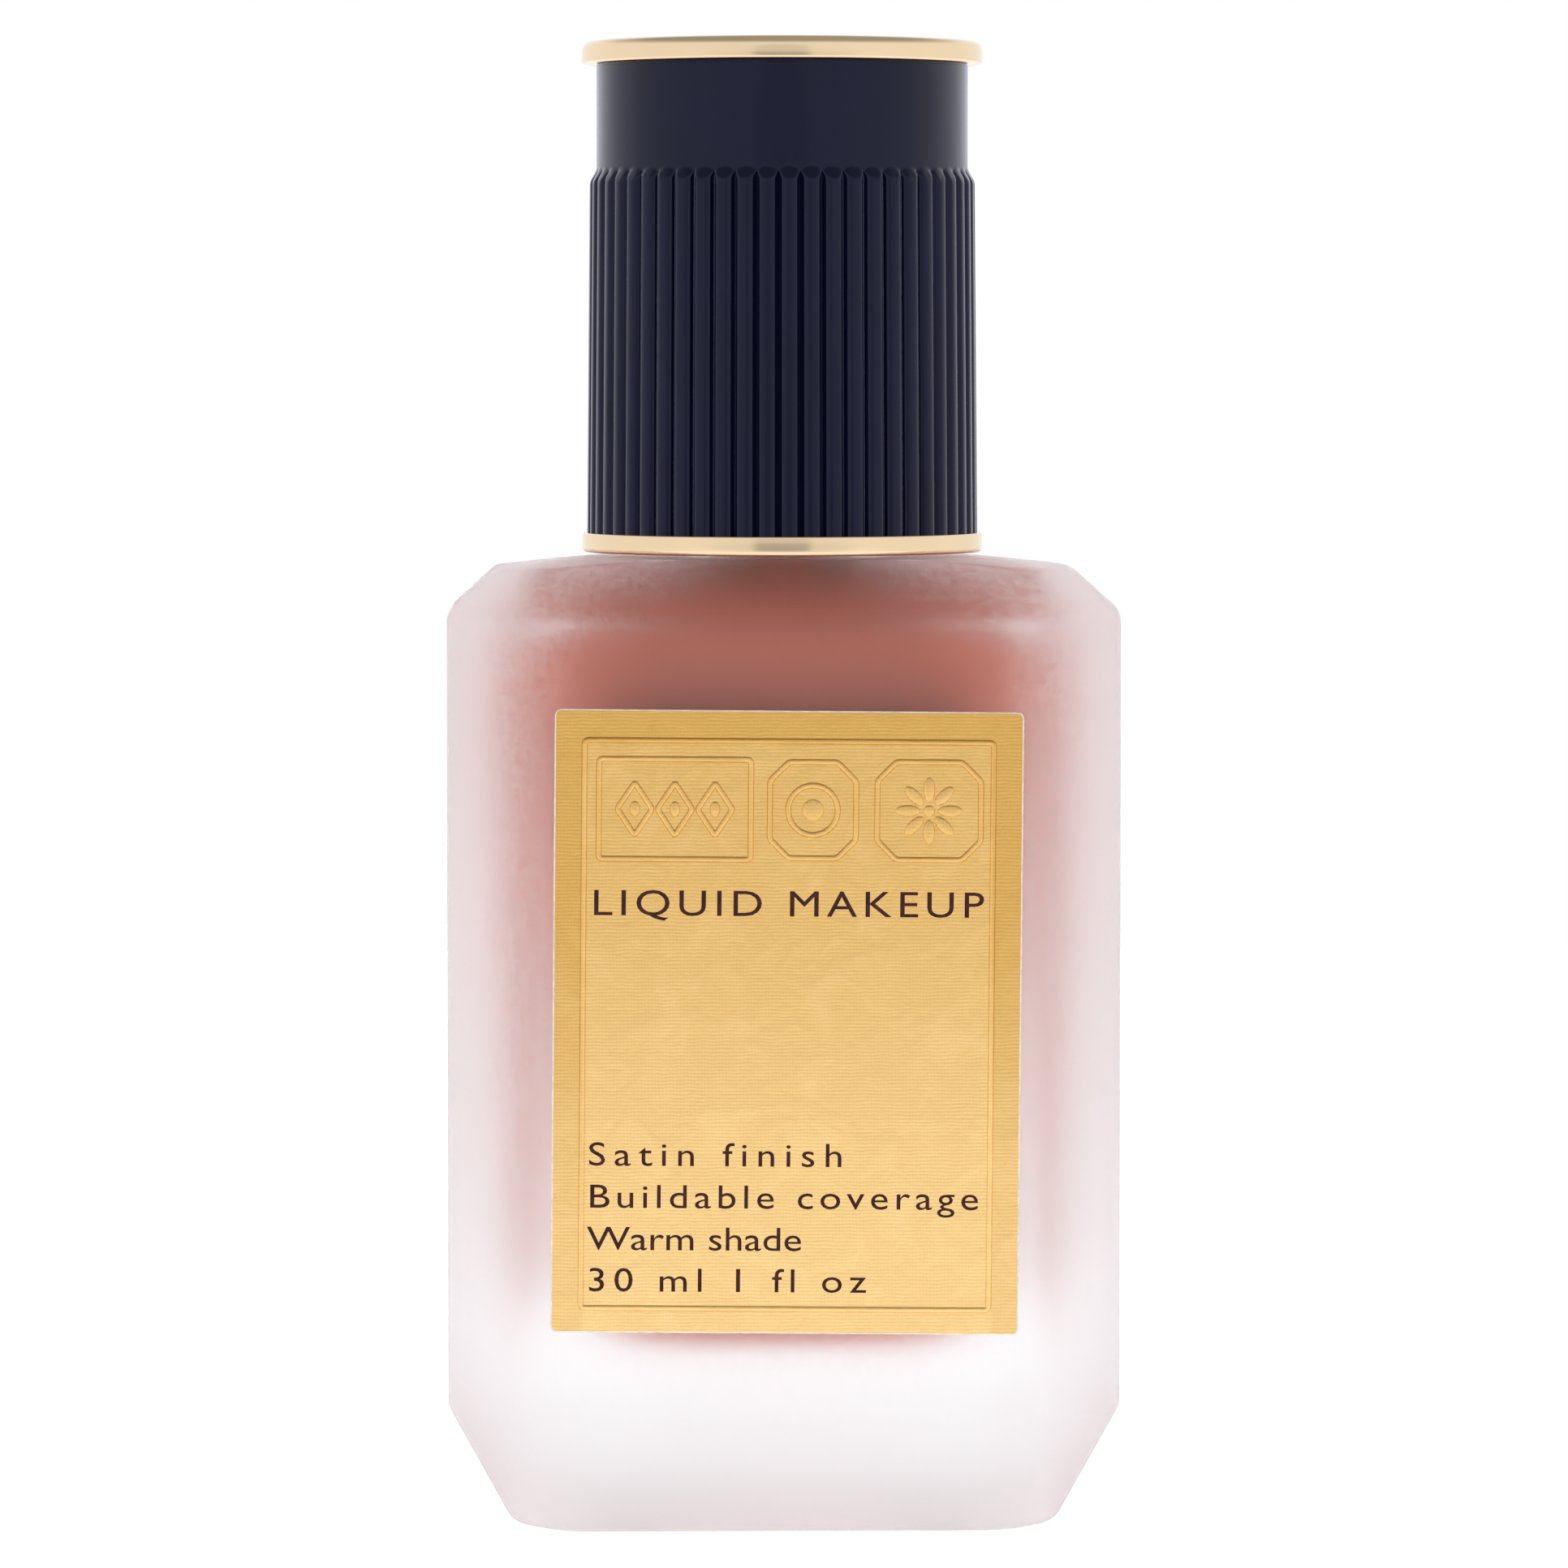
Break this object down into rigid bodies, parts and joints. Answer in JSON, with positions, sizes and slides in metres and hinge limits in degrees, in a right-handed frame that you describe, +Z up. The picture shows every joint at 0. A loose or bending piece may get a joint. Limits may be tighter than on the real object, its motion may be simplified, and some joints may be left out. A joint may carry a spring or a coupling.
{
  "type": "foundation bottle",
  "caption": "Faceted frosted glass foundation bottle with a gold foil front label, an inner treatment pump and a ribbed dark overcap with metal trim.",
  "frame": {"origin": "centre of the base, on the surface that the bottle stands on", "axes": "+Z up through the neck and the cap, the label faces -Y, +X is to the right as seen from the front"},
  "size_m": [0.0468, 0.0304, 0.1035],
  "materials": {
    "frosted_glass": "satin-etched outside, thick clear walls",
    "foundation_liquid": "opaque cream liquid",
    "gold_foil_label": "fine-grained metallised paper, embossed, with dark brown printed lines",
    "navy_plastic": "glossy moulded plastic",
    "pale_gold_metal": "polished pale gold anodised",
    "pump_plastic": "natural moulded polypropylene",
    "seal_plastic": "soft natural polyethylene",
    "foam_gasket": "closed-cell foam",
    "clear_tube": "translucent extruded tube",
    "spring_steel": "drawn stainless wire and polished ball"
  },
  "bodies": {
    "bottle_body": {"bottle": "frosted_glass", "foundation_fill": "foundation_liquid", "front_label": "gold_foil_label", "neck_gasket": "foam_gasket", "snap_ring": "pump_plastic", "collar_sleeve": "pale_gold_metal", "pump_housing": "pump_plastic", "stem_gland": "pump_plastic", "dip_tube": "clear_tube", "return_spring": "spring_steel"},
    "inlet_valve": {"inlet_ball": "spring_steel"},
    "pump_rod": {"stem": "pump_plastic", "stem_plug": "pump_plastic"},
    "pump_piston": {"piston": "seal_plastic"},
    "actuator": {"actuator_core": "pump_plastic", "actuator_cover": "pale_gold_metal", "nozzle_insert": "pump_plastic"},
    "overcap": {"cap_shell": "navy_plastic", "cap_liner": "pump_plastic", "cap_bottom_ring": "pale_gold_metal", "cap_top_disc": "pale_gold_metal"}
  },
  "joints": [
    {"name": "cap_lift", "type": "slide", "parent": "bottle_body", "child": "overcap", "axis": [0, 0, 1], "range_m": [0, 0.045]},
    {"name": "pump_press", "type": "slide", "parent": "bottle_body", "child": "pump_rod", "axis": [0, 0, -1], "range_m": [0, 0.0036], "stiffness_N_per_m": 300, "springref_m": -0.002, "deforming": ["return_spring"]},
    {"name": "actuator_turn", "type": "hinge", "parent": "pump_rod", "child": "actuator", "pos_m": [0, 0, 0.088], "axis": [0, 0, 1], "continuous": true},
    {"name": "piston_float", "type": "slide", "parent": "pump_rod", "child": "pump_piston", "axis": [0, 0, 1], "range_m": [0, 0.0008]},
    {"name": "inlet_ball_lift", "type": "slide", "parent": "bottle_body", "child": "inlet_valve", "axis": [0, 0, 1], "range_m": [0, 0.0008]}
  ]
}
